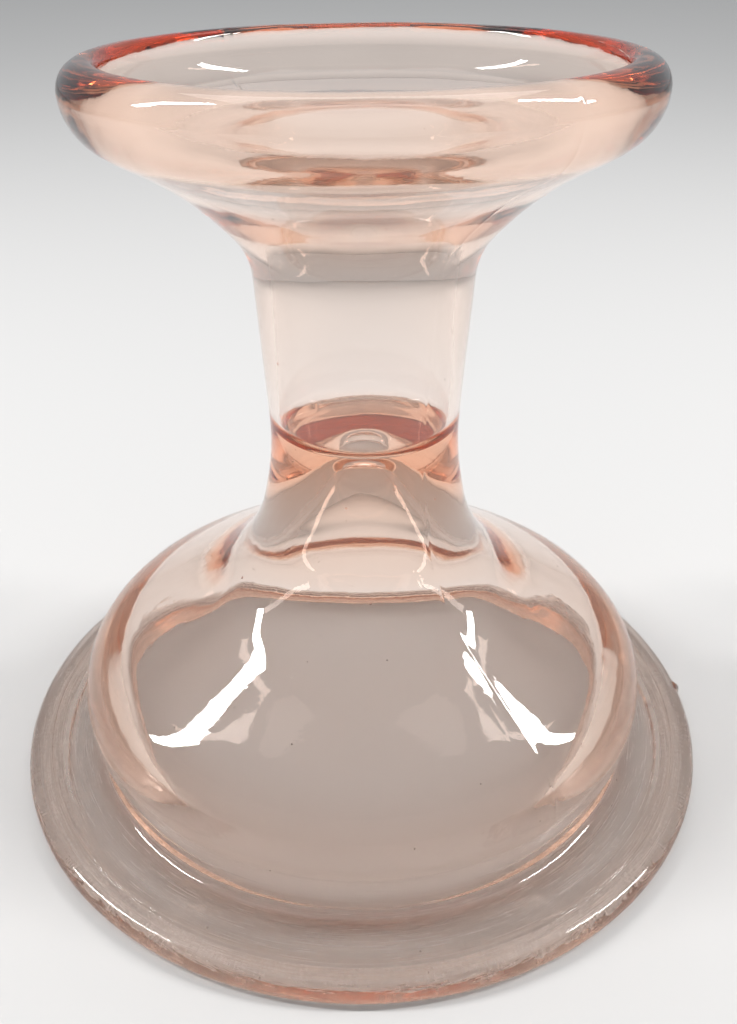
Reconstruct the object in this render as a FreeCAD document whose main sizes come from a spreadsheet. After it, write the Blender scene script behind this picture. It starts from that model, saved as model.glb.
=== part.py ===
"""Pressed glass candlestick: a domed foot, a hollow candle stem and a flared bowl.

The real object is one pressing of clear pink glass. It is drawn here as its three natural
sections, which meet face to face on level joint planes, so that each is a simple solid:

  domed_foot   rest rim, hollow dome, the root of the stem and the floor of the candle socket
  candle_stem  the tapered tube that grips the candle
  flared_bowl  the trumpet-shaped drip bowl with its rolled lip

Millimetres. Z is up and is the axis of symmetry. The origin is on the table, under the centre.
Each section is half of its outline, drawn on the X-Z plane and turned once round Z. An outline
is a ring of corners joined by straight sides, and an arc tangent to both sides rounds a corner.
"""
import FreeCAD, Part
import math
import os

import Sketcher

# The driving dimensions: each corner's name, its distance from the axis, its height above the
# table, and the radius of the arc that rounds it (0 leaves the corner sharp).
CORNERS = [
    # the bell-shaped hollow under the foot, from its peak down to its mouth
    ("hollow_peak", 0.0, 50.4, 0.0),
    ("peak_side", 2.4, 50.4, 4.2),
    ("hollow_throat", 11.5, 36.1, 12.6),
    ("hollow_roof", 22.6, 25.4, 31.0),
    ("hollow_shoulder", 38.0, 17.2, 7.9),
    ("hollow_mouth", 39.5, 1.1, 0.6),
    # the underside: a shallow recess inside the flat ring that stands on the table
    ("recess_edge", 46.2, 1.1, 3.2),
    ("rest_inner", 47.8, 0.0, 1.2),
    # the rest rim
    ("rim_bottom", 52.5, 0.0, 1.4),
    ("rim_top", 52.5, 3.4, 1.6),
    # the outside of the dome, up to the waist of the stem
    ("dome_cove", 40.3, 3.4, 2.1),
    ("dome_wall", 42.7, 10.0, 11.5),
    ("dome_shoulder", 42.3, 17.7, 9.0),
    ("stem_root", 16.0, 33.1, 21.0),
    ("stem_waist", 12.7, 49.9, 42.0),
    # the level joint planes between the sections, and the socket's wall on each of them
    ("foot_joint", 13.4, 61.0, 0.0),
    ("foot_joint_bore", 11.4, 61.0, 0.0),
    ("bowl_joint", 14.2, 73.5, 0.0),
    ("bowl_joint_bore", 11.4, 73.5, 0.0),
    # the floor of the candle socket
    ("socket_corner", 11.4, 52.8, 2.6),
    ("socket_floor", 0.0, 52.8, 0.0),
    # the outside of the bowl, up to its rolled lip
    ("bowl_collar", 14.44, 77.7, 9.4),
    ("bowl_flare", 22.3, 86.2, 42.0),
    ("bowl_belly", 34.5, 93.0, 6.4),
    ("lip_outer", 34.5, 100.0, 3.1),
    ("lip_inner", 29.8, 100.0, 1.4),
    # the inside of the bowl, down to the mouth of the socket
    ("bowl_inside", 29.3, 95.3, 5.2),
    ("socket_mouth", 11.4, 81.4, 9.4),
]

SECTIONS = {
    "domed_foot": [
        "hollow_peak", "peak_side", "hollow_throat", "hollow_roof", "hollow_shoulder",
        "hollow_mouth", "recess_edge", "rest_inner", "rim_bottom", "rim_top", "dome_cove",
        "dome_wall", "dome_shoulder", "stem_root", "stem_waist", "foot_joint",
        "foot_joint_bore", "socket_corner", "socket_floor",
    ],
    "candle_stem": ["foot_joint", "bowl_joint", "bowl_joint_bore", "foot_joint_bore"],
    "flared_bowl": [
        "bowl_joint", "bowl_collar", "bowl_flare", "bowl_belly", "lip_outer", "lip_inner",
        "bowl_inside", "socket_mouth", "bowl_joint_bore",
    ],
}

# Sketcher's codes for the parts of a piece of geometry and for a sketch's own axes.
START, END = 1, 2
ORIGIN_POINT = (-1, 1)
RADIAL_AXIS = -1
TURNING_AXIS = -2
SAME_POINT = 1e-6

DOC = FreeCAD.newDocument("glass_candlestick")


def make_sheet():
    """Put every corner's three dimensions in a sheet, each in a cell with an alias."""
    sheet = DOC.addObject("Spreadsheet::Sheet", "dimensions")
    row = 1
    for name, radius, height, rounding in CORNERS:
        for quantity, value in (("radius", radius), ("height", height), ("round", rounding)):
            sheet.set("A%d" % row, "%s %s, mm" % (name.replace("_", " "), quantity))
            sheet.set("B%d" % row, str(value))
            sheet.setAlias("B%d" % row, "%s_%s" % (name, quantity))
            row += 1
    DOC.recompute()
    return sheet


def corner_geometry(before, corner, after, rounding):
    """Return where a corner's arc starts and ends, and the arc; a sharp corner has no arc."""
    if rounding == 0:
        return corner, corner, None
    towards_before = (before - corner).normalize()
    towards_after = (after - corner).normalize()
    half_angle = towards_before.getAngle(towards_after) / 2
    reach = rounding / math.tan(half_angle)
    bisector = (towards_before + towards_after).normalize()
    first = corner + towards_before * reach
    last = corner + towards_after * reach
    middle = corner + bisector * (rounding / math.sin(half_angle) - rounding)
    return first, last, Part.Arc(first, middle, last)


class Outline:
    """A closed sketch of corners and sides, with each size bound to its cell in the sheet."""

    def __init__(self, body, sheet, names):
        self.sheet = sheet
        self.names = names
        self.sketch = body.newObject("Sketcher::SketchObject", body.Name + "_outline")
        plane = [o for o in body.Origin.OriginFeatures if o.Role == "XZ_Plane"][0]
        self.sketch.AttachmentSupport = [(plane, "")]
        self.sketch.MapMode = "FlatFace"
        self.draw()

    def size(self, name, quantity):
        return float(self.sheet.get("%s_%s" % (name, quantity)))

    def constrain(self, *parts):
        return self.sketch.addConstraint(Sketcher.Constraint(*parts))

    def bind(self, index, name, quantity):
        """Name a constraint after its cell, and let the cell drive it."""
        alias = "%s_%s" % (name, quantity)
        self.sketch.renameConstraint(index, alias)
        self.sketch.setExpression("Constraints." + alias, "dimensions." + alias)

    def place(self, name, geometry, point):
        """Hold a point at its corner's radius and height."""
        for quantity, kind, axis in (
            ("radius", "DistanceX", TURNING_AXIS),
            ("height", "DistanceY", RADIAL_AXIS),
        ):
            value = self.size(name, quantity)
            if value == 0:
                self.constrain("PointOnObject", geometry, point, axis)
            else:
                index = self.constrain(kind, *ORIGIN_POINT, geometry, point, value)
                self.bind(index, name, quantity)

    def draw(self):
        count = len(self.names)
        points = [
            FreeCAD.Vector(self.size(name, "radius"), self.size(name, "height"), 0)
            for name in self.names
        ]
        turns = [
            corner_geometry(
                points[i - 1], points[i], points[(i + 1) % count], self.size(name, "round")
            )
            for i, name in enumerate(self.names)
        ]
        sides = []
        for i in range(count):
            start = turns[i][1]
            end = turns[(i + 1) % count][0]
            sides.append(self.sketch.addGeometry(Part.LineSegment(start, end)))
        for i, name in enumerate(self.names):
            side_in = sides[i - 1]
            side_out = sides[i]
            arc = turns[i][2]
            if arc is None:
                self.constrain("Coincident", side_in, END, side_out, START)
                self.place(name, side_out, START)
            else:
                self.draw_round(name, points[i], arc, side_in, side_out)

    def draw_round(self, name, corner, arc, side_in, side_out):
        """Round a corner: its two sides still aim at the corner, and the arc joins them."""
        aim = self.sketch.addGeometry(Part.Point(corner), True)
        self.place(name, aim, START)
        self.constrain("PointOnObject", aim, START, side_in)
        self.constrain("PointOnObject", aim, START, side_out)
        curve = self.sketch.addGeometry(arc)
        meeting_point = self.sketch.getPoint(side_in, END)
        forward = self.sketch.getPoint(curve, START).distanceToPoint(meeting_point) < SAME_POINT
        self.constrain("Tangent", side_in, END, curve, START if forward else END)
        self.constrain("Tangent", side_out, START, curve, END if forward else START)
        self.bind(self.constrain("Radius", curve, self.size(name, "round")), name, "round")


def make_section(label, names, sheet):
    """Turn one section's outline round Z."""
    body = DOC.addObject("PartDesign::Body", label)
    body.Label = label
    outline = Outline(body, sheet, names)
    DOC.recompute()
    turned = body.newObject("PartDesign::Revolution", label + "_turned")
    turned.Profile = outline.sketch
    turned.ReferenceAxis = (outline.sketch, ["V_Axis"])
    turned.Angle = 360
    outline.sketch.Visibility = False
    body.Tip = turned
    body.Placement = FreeCAD.Placement()
    return body


def check(bodies):
    """Stop if any object failed to recompute or any section isn't one sound solid."""
    for item in DOC.Objects:
        if "Invalid" in item.State or "Error" in item.State:
            raise SystemExit("%s: %s" % (item.Label, item.State))
        if item.TypeId == "Sketcher::SketchObject" and item.solve() != 0:
            raise SystemExit("%s: its constraints don't solve" % item.Label)
    for body in bodies:
        shape = body.Shape
        if shape.isNull() or not shape.isValid() or len(shape.Solids) != 1:
            raise SystemExit("%s: not one valid solid" % body.Label)


def main():
    sheet = make_sheet()
    bodies = [make_section(label, names, sheet) for label, names in SECTIONS.items()]
    DOC.recompute()
    check(bodies)
    os.makedirs("parts", exist_ok=True)
    for body in bodies:
        body.Shape.exportStep("parts/%s.step" % body.Label)
        box = body.Shape.optimalBoundingBox(False)
        print(
            "%-12s volume %8.1f mm3, z %6.2f to %6.2f, radius %5.2f"
            % (body.Label, body.Shape.Volume, box.ZMin, box.ZMax, box.XMax)
        )


main()
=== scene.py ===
"""The looks of a pressed glass candlestick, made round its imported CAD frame.

The real thing is one pressing of pale pink glass, so one continuous skin stands for the three
CAD sections and no joint shows between them. The skin is half of the glass's outline turned
round Z, with the marks that pressing leaves: a jagged fin where the mould's ring met its
block, an upright seam on each side, turning marks on the flat foot and a slow ripple all over.
Seeds, which are tiny bubbles, hang inside the glass as closed shells that face inwards.

Sizes are millimetres, and MM turns them into metres. Z is up, and the table is at 0.
"""

import bisect
import math
import random

import bpy
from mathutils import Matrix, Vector, noise


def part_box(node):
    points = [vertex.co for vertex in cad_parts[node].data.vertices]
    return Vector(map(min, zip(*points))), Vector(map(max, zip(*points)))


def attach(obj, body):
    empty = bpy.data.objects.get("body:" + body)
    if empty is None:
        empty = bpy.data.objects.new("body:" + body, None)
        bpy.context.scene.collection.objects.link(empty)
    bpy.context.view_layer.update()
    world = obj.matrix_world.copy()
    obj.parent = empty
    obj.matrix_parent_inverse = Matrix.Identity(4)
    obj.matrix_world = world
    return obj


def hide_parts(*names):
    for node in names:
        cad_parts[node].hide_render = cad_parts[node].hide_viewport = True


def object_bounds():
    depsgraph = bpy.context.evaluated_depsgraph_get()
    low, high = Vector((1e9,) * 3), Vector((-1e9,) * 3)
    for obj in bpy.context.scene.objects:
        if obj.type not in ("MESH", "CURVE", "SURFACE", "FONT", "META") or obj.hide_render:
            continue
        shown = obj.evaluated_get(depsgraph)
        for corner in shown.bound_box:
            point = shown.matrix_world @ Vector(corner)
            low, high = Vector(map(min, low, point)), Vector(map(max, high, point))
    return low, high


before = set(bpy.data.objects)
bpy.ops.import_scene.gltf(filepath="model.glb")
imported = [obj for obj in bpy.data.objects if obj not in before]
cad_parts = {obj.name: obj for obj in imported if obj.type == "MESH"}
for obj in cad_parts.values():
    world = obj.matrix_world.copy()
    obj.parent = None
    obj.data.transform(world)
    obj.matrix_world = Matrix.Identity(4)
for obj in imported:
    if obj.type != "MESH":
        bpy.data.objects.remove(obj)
CAD_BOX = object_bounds()

MM = 0.001
FOOT_RADIUS = CAD_BOX[1].x / MM
HEIGHT = CAD_BOX[1].z / MM
LIP_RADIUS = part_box("flared_bowl")[1].x / MM
GLASS_NODES = ("domed_foot", "candle_stem", "flared_bowl")

# The outline of the whole pressing, from the peak of the hollow under the foot, out along the
# underside, up the outside, over the lip and down to the socket's floor. Each corner has its
# distance from the axis, its height, and the radius of the arc that rounds it.
OUTLINE = [
    ("hollow_peak", 0.0, 50.4, 0.0),
    ("peak_side", 2.4, 50.4, 4.2),
    ("hollow_throat", 11.5, 36.1, 12.6),
    ("hollow_roof", 22.6, 25.4, 31.0),
    ("hollow_shoulder", 38.0, 17.2, 7.9),
    ("hollow_mouth", 39.5, 1.1, 0.6),
    ("recess_edge", 46.2, 1.1, 3.2),
    ("rest_inner", 47.8, 0.0, 1.2),
    ("rim_bottom", FOOT_RADIUS, 0.0, 1.4),
    ("rim_top", FOOT_RADIUS, 3.4, 1.6),
    ("dome_cove", 40.3, 3.4, 2.1),
    ("dome_wall", 42.7, 10.0, 11.5),
    ("dome_shoulder", 42.3, 17.7, 9.0),
    ("stem_root", 16.0, 33.1, 21.0),
    ("stem_waist", 12.7, 49.9, 42.0),
    ("bowl_collar", 14.44, 77.7, 9.4),
    ("bowl_flare", 22.3, 86.2, 42.0),
    ("bowl_belly", LIP_RADIUS, 93.0, 6.4),
    ("lip_outer", LIP_RADIUS, HEIGHT, 3.1),
    ("lip_inner", 29.8, HEIGHT, 1.4),
    ("bowl_inside", 29.3, 95.3, 5.2),
    ("socket_mouth", 11.4, 81.4, 9.4),
    ("socket_corner", 11.4, 52.8, 2.6),
    ("socket_floor", 0.0, 52.8, 0.0),
]
FOOT_TOP = 3.4

# How finely the outline is cut: no step is longer than this, and no arc turns further. Then how
# many steps go once round, before more are crowded in at the seams.
LONGEST_STEP = 1.9
ARC_STEP = math.radians(11)
ROUND_STEPS = 380

# The parting fin on top of the flange. Its height swells slowly round the foot, bristles
# quickly, and stands up in a spike where a bristle passes the start of the spikes.
PARTING_RADIUS = 49.1
PARTING_WIDTH = 0.13
FIN_LOWEST = 2
FIN_HIGHEST = 4
FIN_HEIGHT = 0.26
FIN_SWELL = 0.12
FIN_BRISTLE = 0.3
FIN_SPIKE = 0.7
SPIKE_START = 0.42
SWELL_SCALE = 7
BRISTLE_SCALE = 60
# where the outline is cut across the fin, in widths of the fin from its middle
FIN_CUTS = (-2.5, -1.6, -0.8, 0, 0.8, 1.6, 2.5)

# The two upright seams, and where the skin is cut across each, in steps from its middle.
SEAM_ANGLES = (math.radians(-54), math.radians(126))
SEAM_HEIGHT = 0.02
SEAM_WIDTH = 0.28
SEAM_CUTS = (-0.9, -0.6, -0.35, -0.15, 0, 0.15, 0.35, 0.6, 0.9)
SEAM_CLEARANCE = 1.1

# The little bump on the edge of the flange.
BUMP_ANGLE = math.radians(3)
BUMP_HEIGHT = 0.5
BUMP_WIDTH = 0.7
BUMP_REACH = 1.2

# The height over which every mark fades in above the table.
MARK_FADE = 1.5

# The ripple: its height, how tight its slow and fine waves are, and the fine wave's share. It
# fades in away from the axis and above the table.
RIPPLE = 0.05
SLOW_SCALE = 0.09
FINE_SCALE = 0.33
FINE_SHARE = 0.35
FINE_SHIFT = Vector((40, 7, 19))
RIPPLE_AXIS_FADE = 3
RIPPLE_TABLE_FADE = 2

# How far the stem stands off the foot's centre, reached at one height, and how much the lip
# leans, which starts at one height and is complete a span above it.
STEM_SHIFT = 0.5
SHIFT_TOP = 45
LIP_TILT = math.tan(math.radians(0.45))
LEAN_START = 30
LEAN_SPAN = 50

# The seeds: their number, sizes and highest place, and how much glass must cover each.
SEED_COUNT = 220
SEED_RANDOM = 11
SEED_TOP = 90.0
SEED_SMALLEST = 0.04
SEED_SPREAD = 0.13
SEED_STRETCH = 0.9
SEED_COVER = 0.25
SEED_COVER_SHARE = 1.6

# The glass. The tint is what is left of white light, and its density is per metre.
GLASS_IOR = 1.52
TINT_COLOUR = (0.95, 0.40, 0.03, 1)
TINT_DENSITY = 44.0
RIPPLE_BUMP = 0.008
RING_BUMP = 0.03
RING_SPACING = 0.22
RING_RISE = 0.6
RING_ROUND_SCALE = 5.0

# The mix node's colour sockets share one name with its other kinds, so they go by number.
MIX_FACTOR = 0
MIX_FIRST = 6
MIX_SECOND = 7
MIX_RESULT = 2

# The studio, in metres and watts. The lights face a point at this share of the height.
FLOOR_REACH = 3.5
STRIP_SIDE = 0.45
STRIP_FRONT = 0.02
STRIP_RISE = 0.48
STRIP_SIZE = (0.045, 0.34)
STRIP_WATTS = 2.4
AIM_SHARE = 0.45

# How far the floor lies under the table plane, so that the two never meet. Millimetres.
FLOOR_DROP = 0.02

# The camera: millimetres, and degrees below and beside level.
CAMERA_PLACE = (0.25, -124.85, 113.7)
CAMERA_DIP = 31.1
CAMERA_YAW = -0.37


def unit_from(start, end):
    return (end - start).normalized()


def rounded_outline(corners):
    """The outline as (name of the nearest corner, point) from the axis back to the axis."""
    run = [(corners[0][0], Vector(corners[0][1:3]))]
    for before, corner, after in zip(corners, corners[1:], corners[2:]):
        name, radius, height, rounding = corner
        point = Vector((radius, height))
        back = unit_from(point, Vector(before[1:3]))
        ahead = unit_from(point, Vector(after[1:3]))
        half = back.angle(ahead) / 2
        centre = point + (back + ahead).normalized() * rounding / math.sin(half)
        start = point + back * rounding / math.tan(half) - centre
        turn = math.pi - 2 * half
        side = math.copysign(1, back.x * ahead.y - back.y * ahead.x)
        steps = max(2, math.ceil(turn / ARC_STEP), math.ceil(turn * rounding / LONGEST_STEP))
        for i in range(steps + 1):
            angle = -side * turn * i / steps
            cosine = math.cos(angle)
            sine = math.sin(angle)
            spoke = Vector((start.x * cosine - start.y * sine, start.x * sine + start.y * cosine))
            run.append((name, centre + spoke))
    run.append((corners[-1][0], Vector(corners[-1][1:3])))
    return run


def cut_outline(run):
    """Cut the straight sides of the outline into short steps, and crowd them at the fin."""
    points = [run[0]]
    for (_, start), (name, end) in zip(run, run[1:]):
        span = end - start
        steps = math.ceil(span.length / LONGEST_STEP)
        shares = [i / steps for i in range(1, steps)]
        if start.x > PARTING_RADIUS > end.x and start.y > 2:
            for offset in FIN_CUTS:
                shares.append((PARTING_RADIUS + offset * PARTING_WIDTH - start.x) / span.x)
        for share in sorted(shares):
            points.append((name, start + span * share))
        points.append((name, end))
    return points


def round_angles():
    """Even angles round the axis, crowded at the two seams."""
    step = 2 * math.pi / ROUND_STEPS
    angles = [i * step for i in range(ROUND_STEPS)]
    for seam in SEAM_ANGLES:
        seam %= 2 * math.pi
        angles = [a for a in angles if abs(a - seam) > step * SEAM_CLEARANCE]
        for offset in SEAM_CUTS:
            bisect.insort(angles, seam + offset * step)
    return angles


def angle_between(angle, other):
    """How far one angle lies from another, the short way round."""
    return (angle - other + math.pi) % (2 * math.pi) - math.pi


def bell(distance, width):
    return math.exp(-((distance / width) ** 2))


def ease(value):
    """A smooth step from 0 to 1, held level on either side."""
    value = min(1, max(0, value))
    return value * value * (3 - 2 * value)


def fin_height(angle):
    """The jagged fin of glass that was squeezed up between the mould's ring and its block."""
    around = Vector((math.cos(angle), math.sin(angle), 0))
    slow = noise.noise(around * SWELL_SCALE)
    quick = noise.noise(around * BRISTLE_SCALE)
    bristle = FIN_BRISTLE * max(0, quick)
    spike = FIN_SPIKE * max(0, quick - SPIKE_START)
    return FIN_HEIGHT + FIN_SWELL * slow + bristle + spike


def mark_height(point, angle, outside):
    """How far the marks of pressing stand out from the smooth outline at a point."""
    if not outside:
        return 0
    height = 0
    radius = point.x
    if FIN_LOWEST < point.y < FIN_HIGHEST and radius > PARTING_RADIUS - 1:
        height += fin_height(angle) * bell(radius - PARTING_RADIUS, PARTING_WIDTH)
    for seam in SEAM_ANGLES:
        away = angle_between(angle, seam)
        height += SEAM_HEIGHT * bell(away * radius, SEAM_WIDTH)
    away = angle_between(angle, BUMP_ANGLE)
    height += BUMP_HEIGHT * bell(away * radius, BUMP_WIDTH) * bell(radius - FOOT_RADIUS, BUMP_REACH)
    return height * ease(point.y / MARK_FADE)


def ripple_height(place):
    """A slow ripple left by the press, and a finer one left by the flame that polished it."""
    slow = noise.noise(place * SLOW_SCALE)
    fine = noise.noise(place * FINE_SCALE + FINE_SHIFT)
    return RIPPLE * (slow + FINE_SHARE * fine)


def settle(place):
    """Let the stem stand a little off the foot's centre, and the lip lean a little to one side."""
    lifted = ease(place.z / SHIFT_TOP)
    leaning = ease((place.z - LEAN_START) / LEAN_SPAN)
    place.z += leaning * LIP_TILT * place.x
    place.x += STEM_SHIFT * lifted
    return place


def skin_mesh():
    """Turn the outline round Z, with the marks and the ripple on it."""
    points = cut_outline(rounded_outline(OUTLINE))
    names = [corner[0] for corner in OUTLINE]
    first_outside = names.index("rim_bottom")
    last_outside = names.index("lip_inner")
    angles = round_angles()
    count = len(angles)
    vertices = []
    for i in range(1, len(points) - 1):
        name, point = points[i]
        along = points[i + 1][1] - points[i - 1][1]
        out = Vector((along.y, -along.x)).normalized()
        outside = first_outside <= names.index(name) <= last_outside
        for angle in angles:
            spoke = Vector((math.cos(angle), math.sin(angle), 0))
            place = spoke * point.x + Vector((0, 0, point.y))
            stand = ripple_height(place) * ease(point.x / RIPPLE_AXIS_FADE)
            stand *= ease(point.y / RIPPLE_TABLE_FADE)
            stand += mark_height(point, angle, outside)
            place += (spoke * out.x + Vector((0, 0, out.y))) * stand
            vertices.append(settle(place) * MM)
    rings = len(points) - 2
    faces = []
    for ring in range(rings - 1):
        for j in range(count):
            k = (j + 1) % count
            low = ring * count
            high = low + count
            faces.append((low + j, low + k, high + k, high + j))
    peak = len(vertices)
    vertices.append(settle(Vector((0, 0, points[0][1].y))) * MM)
    floor = len(vertices)
    vertices.append(settle(Vector((0, 0, points[-1][1].y))) * MM)
    last = (rings - 1) * count
    for j in range(count):
        k = (j + 1) % count
        faces.append((peak, k, j))
        faces.append((floor, last + j, last + k))
    return vertices, faces, [point for _, point in points]


def depth_in_glass(point, outline):
    """How deep a point of the half section lies in the glass, or None if it's outside it."""
    inside = False
    nearest = point.length
    for start, end in zip(outline, outline[1:]):
        span = end - start
        share = min(1, max(0, (point - start).dot(span) / span.length_squared))
        nearest = min(nearest, (start + span * share - point).length)
        if (start.y > point.y) != (end.y > point.y):
            crossing = start.x + (point.y - start.y) / span.y * span.x
            if crossing > point.x:
                inside = not inside
    return nearest if inside else None


def seed_shell(centre, radius, stretch):
    """A closed little shell that faces inwards, a bubble's wall as the glass round it sees it."""
    rows = 5
    columns = 8
    vertices = [centre + Vector((0, 0, radius * stretch))]
    for i in range(1, rows):
        tilt = math.pi * i / rows
        for j in range(columns):
            turn = 2 * math.pi * j / columns
            spoke = Vector((math.cos(turn), math.sin(turn), 0)) * math.sin(tilt)
            vertices.append(centre + (spoke + Vector((0, 0, stretch * math.cos(tilt)))) * radius)
    vertices.append(centre - Vector((0, 0, radius * stretch)))
    bottom = len(vertices) - 1
    faces = []
    for j in range(columns):
        k = (j + 1) % columns
        faces.append((0, 1 + k, 1 + j))
        for i in range(rows - 2):
            low = 1 + i * columns
            faces.append((low + j, low + k, low + columns + k, low + columns + j))
        faces.append((bottom, bottom - columns + j, bottom - columns + k))
    return vertices, faces


def add_seeds(vertices, faces, outline):
    """Scatter the seeds through the glass, each well inside it."""
    chance = random.Random(SEED_RANDOM)
    made = 0
    while made < SEED_COUNT:
        radius = FOOT_RADIUS * math.sqrt(chance.random())
        height = HEIGHT * chance.random()
        size = SEED_SMALLEST + SEED_SPREAD * chance.random() ** 3
        depth = depth_in_glass(Vector((radius, height)), outline)
        cover = size * SEED_COVER_SHARE + SEED_COVER
        if depth is None or depth < cover or height > SEED_TOP:
            continue
        turn = chance.uniform(0, 2 * math.pi)
        centre = Vector((radius * math.cos(turn), radius * math.sin(turn), height))
        stretch = 1 + SEED_STRETCH * chance.random() ** 2
        shell, shell_faces = seed_shell(settle(centre) * MM, size * MM, stretch)
        first = len(vertices)
        vertices.extend(shell)
        faces.extend(tuple(first + corner for corner in face) for face in shell_faces)
        made += 1


def make_candlestick():
    vertices, faces, outline = skin_mesh()
    add_seeds(vertices, faces, outline)
    mesh = bpy.data.meshes.new("pink_glass_candlestick")
    mesh.from_pydata(vertices, [], faces)
    mesh.shade_smooth()
    piece = bpy.data.objects.new("pink_glass_candlestick", mesh)
    bpy.context.scene.collection.objects.link(piece)
    return piece


def new_material(name):
    material = bpy.data.materials.new(name)
    material.use_nodes = True
    material.node_tree.nodes.clear()
    return material, material.node_tree


def add_node(tree, kind, inputs, **settings):
    """Add a node. Each input is a plain value, or another node's output to link to it."""
    made = tree.nodes.new(kind)
    for name, value in settings.items():
        setattr(made, name, value)
    for socket, value in inputs.items():
        if isinstance(value, bpy.types.NodeSocket):
            tree.links.new(value, made.inputs[socket])
        else:
            made.inputs[socket].default_value = value
    return made


def calculate(tree, operation, *values):
    inputs = dict(enumerate(values))
    return add_node(tree, "ShaderNodeMath", inputs, operation=operation).outputs[0]


def noise_of(tree, vector, scale, detail=2.0, roughness=0.5):
    inputs = {"Vector": vector, "Scale": scale, "Detail": detail, "Roughness": roughness}
    return add_node(tree, "ShaderNodeTexNoise", inputs).outputs["Fac"]


def remap(tree, value, low, high, new_low, new_high):
    inputs = {
        "Value": value,
        "From Min": low,
        "From Max": high,
        "To Min": new_low,
        "To Max": new_high,
    }
    made = add_node(tree, "ShaderNodeMapRange", inputs, interpolation_type="SMOOTHSTEP")
    return made.outputs["Result"]


def pink_glass():
    """Clear glass, tinted through its depth, fire polished above and tool marked on the foot."""
    material, tree = new_material("pink_glass")
    place = add_node(tree, "ShaderNodeTexCoord", {}).outputs["Object"]
    axes = add_node(tree, "ShaderNodeSeparateXYZ", {"Vector": place}).outputs
    squares = calculate(tree, "ADD", *(calculate(tree, "POWER", axes[i], 2.0) for i in (0, 1)))
    radius = calculate(tree, "SQRT", squares)
    turn = calculate(tree, "ARCTAN2", axes["Y"], axes["X"])
    height = axes["Z"]

    # turning marks: long thin arcs about the axis, only on the flat of the foot
    rings = {
        "X": calculate(tree, "MULTIPLY", radius, 1 / (RING_SPACING * MM)),
        "Y": calculate(tree, "MULTIPLY", turn, RING_ROUND_SCALE),
        "Z": calculate(tree, "MULTIPLY", height, 1 / (RING_RISE * MM)),
    }
    ring_vector = add_node(tree, "ShaderNodeCombineXYZ", rings).outputs["Vector"]
    marks = noise_of(tree, ring_vector, 1.0, 3.0, 0.65)
    facing = add_node(tree, "ShaderNodeNewGeometry", {}).outputs["Normal"]
    upright = add_node(tree, "ShaderNodeSeparateXYZ", {"Vector": facing}).outputs["Z"]
    level = remap(tree, calculate(tree, "ABSOLUTE", upright), 0.93, 0.995, 0.0, 1.0)
    low = remap(tree, height, (FOOT_TOP + 0.3) * MM, (FOOT_TOP + 1.2) * MM, 1.0, 0.0)
    on_foot = calculate(tree, "MULTIPLY", level, low)

    # the scuffed ring that the candlestick stands on
    scuffs = noise_of(tree, place, 2200.0, 3.0, 0.6)
    on_rest = remap(tree, height, 0.0, 0.5 * MM, 1.0, 0.0)

    smudges = noise_of(tree, place, 45.0, 3.0, 0.6)
    polish = remap(tree, smudges, 0.35, 0.75, 0.008, 0.045)
    brushed = calculate(tree, "MULTIPLY", on_foot, remap(tree, marks, 0.35, 0.7, 0.04, 0.28))
    worn = calculate(tree, "MULTIPLY", on_rest, remap(tree, scuffs, 0.35, 0.65, 0.03, 0.12))
    rough = calculate(tree, "ADD", calculate(tree, "ADD", polish, brushed), worn)

    shallow = noise_of(tree, place, 520.0, 3.0, 0.55)
    ripple = {"Height": shallow, "Distance": RIPPLE_BUMP * MM, "Strength": 1.0}
    rippled = add_node(tree, "ShaderNodeBump", ripple).outputs["Normal"]
    ringed = {
        "Height": calculate(tree, "MULTIPLY", marks, on_foot),
        "Distance": RING_BUMP * MM,
        "Strength": 1.0,
        "Normal": rippled,
    }
    normal = add_node(tree, "ShaderNodeBump", ringed).outputs["Normal"]

    streaks = noise_of(tree, place, 24.0, 2.0, 0.5)
    shade = add_node(tree, "ShaderNodeMix", {MIX_FACTOR: streaks}, data_type="RGBA")
    shade.inputs[MIX_FIRST].default_value = (1.0, 0.985, 0.98, 1)
    shade.inputs[MIX_SECOND].default_value = (1.0, 1.0, 1.0, 1)

    surface = {
        "Base Color": shade.outputs[MIX_RESULT],
        "Roughness": rough,
        "IOR": GLASS_IOR,
        "Transmission Weight": 1.0,
        "Normal": normal,
    }
    glass = add_node(tree, "ShaderNodeBsdfPrincipled", surface)
    tint = {"Color": TINT_COLOUR, "Density": TINT_DENSITY}
    depth = add_node(tree, "ShaderNodeVolumeAbsorption", tint)
    ends = {"Surface": glass.outputs["BSDF"], "Volume": depth.outputs["Volume"]}
    add_node(tree, "ShaderNodeOutputMaterial", ends)
    return material


def make_floor():
    """A plain pale floor, far larger than the object."""
    reach = FLOOR_REACH
    corners = [(-reach, -reach, 0), (reach, -reach, 0), (reach, reach, 0), (-reach, reach, 0)]
    mesh = bpy.data.meshes.new("floor")
    mesh.from_pydata(corners, [], [(0, 1, 2, 3)])
    floor = bpy.data.objects.new("floor", mesh)
    floor.location.z = -FLOOR_DROP * MM
    bpy.context.scene.collection.objects.link(floor)
    material, tree = new_material("pale_floor")
    surface = {"Base Color": (0.62, 0.61, 0.60, 1), "Roughness": 0.85}
    paint = add_node(tree, "ShaderNodeBsdfPrincipled", surface)
    add_node(tree, "ShaderNodeOutputMaterial", {"Surface": paint.outputs["BSDF"]})
    mesh.materials.append(material)
    return floor


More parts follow.
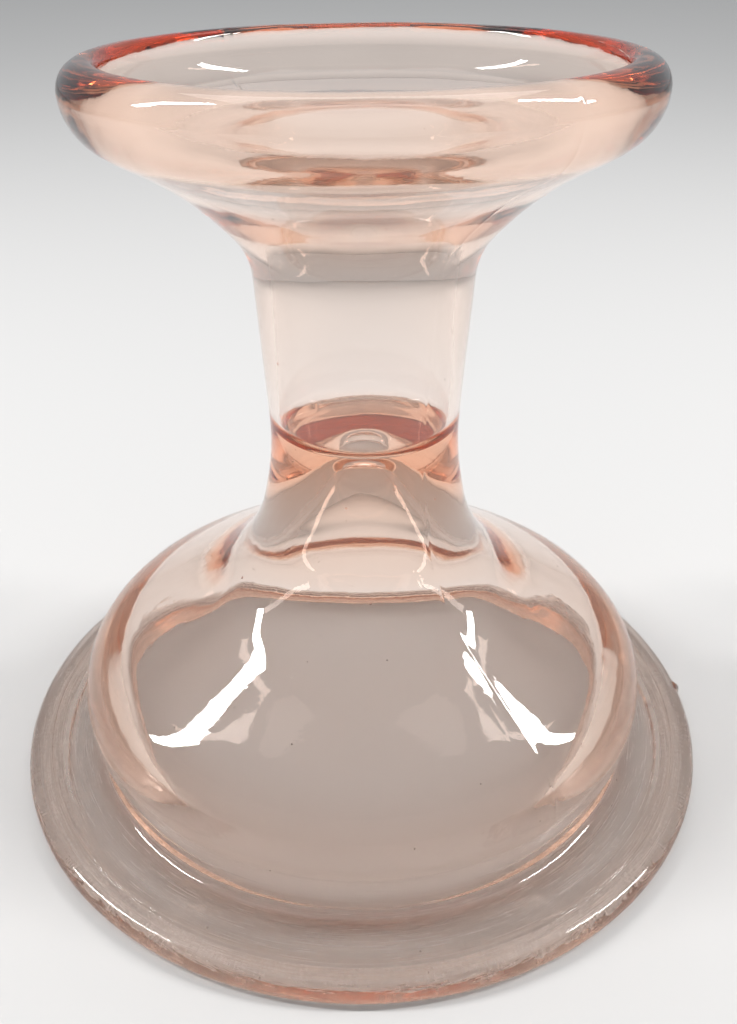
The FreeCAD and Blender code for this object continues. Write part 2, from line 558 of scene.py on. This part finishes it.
def add_light(name, place, width, depth, watts):
    """A soft rectangular light that faces the middle of the candlestick. Metres."""
    lamp = bpy.data.lights.new(name, "AREA")
    lamp.shape = "RECTANGLE"
    lamp.size = width
    lamp.size_y = depth
    lamp.energy = watts
    light = bpy.data.objects.new(name, lamp)
    light.location = place
    aim = Vector((0, 0, AIM_SHARE * HEIGHT * MM)) - Vector(place)
    light.rotation_euler = aim.to_track_quat("-Z", "Y").to_euler()
    bpy.context.scene.collection.objects.link(light)


def add_lights():
    left = (-STRIP_SIDE, STRIP_FRONT, STRIP_RISE)
    right = (STRIP_SIDE, STRIP_FRONT, STRIP_RISE)
    add_light("left_softbox", left, *STRIP_SIZE, STRIP_WATTS)
    add_light("right_softbox", right, *STRIP_SIZE, STRIP_WATTS)
    add_light("overhead_softbox", (0.0, 0.6, 2.2), 2.2, 1.8, 14.0)
    world = bpy.data.worlds.new("studio")
    world.use_nodes = True
    sky = world.node_tree.nodes["Background"]
    sky.inputs["Color"].default_value = (0.30, 0.31, 0.32, 1)
    sky.inputs["Strength"].default_value = 1.5
    bpy.context.scene.world = world


def add_camera():
    """The camera looks down on the candlestick from close in front of it."""
    lens = bpy.data.cameras.new("camera")
    lens.sensor_fit = "VERTICAL"
    lens.sensor_height = 36.0
    lens.lens = 35.16
    lens.clip_start = 0.01
    lens.clip_end = 20.0
    camera = bpy.data.objects.new("camera", lens)
    camera.location = [value * MM for value in CAMERA_PLACE]
    camera.rotation_euler = (math.radians(90 - CAMERA_DIP), 0, math.radians(CAMERA_YAW))
    bpy.context.scene.collection.objects.link(camera)
    bpy.context.scene.camera = camera


def set_light_paths():
    """Let light go far enough through the glass, and keep stray bright paths down."""
    scene = bpy.context.scene
    scene.cycles.max_bounces = 16
    scene.cycles.transmission_bounces = 16
    scene.cycles.glossy_bounces = 12
    scene.cycles.sample_clamp_indirect = 6.0
    scene.view_settings.view_transform = "Standard"


candlestick = make_candlestick()
candlestick.data.materials.append(pink_glass())
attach(candlestick, "root")
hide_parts(*GLASS_NODES)
make_floor()
add_lights()
add_camera()
set_light_paths()
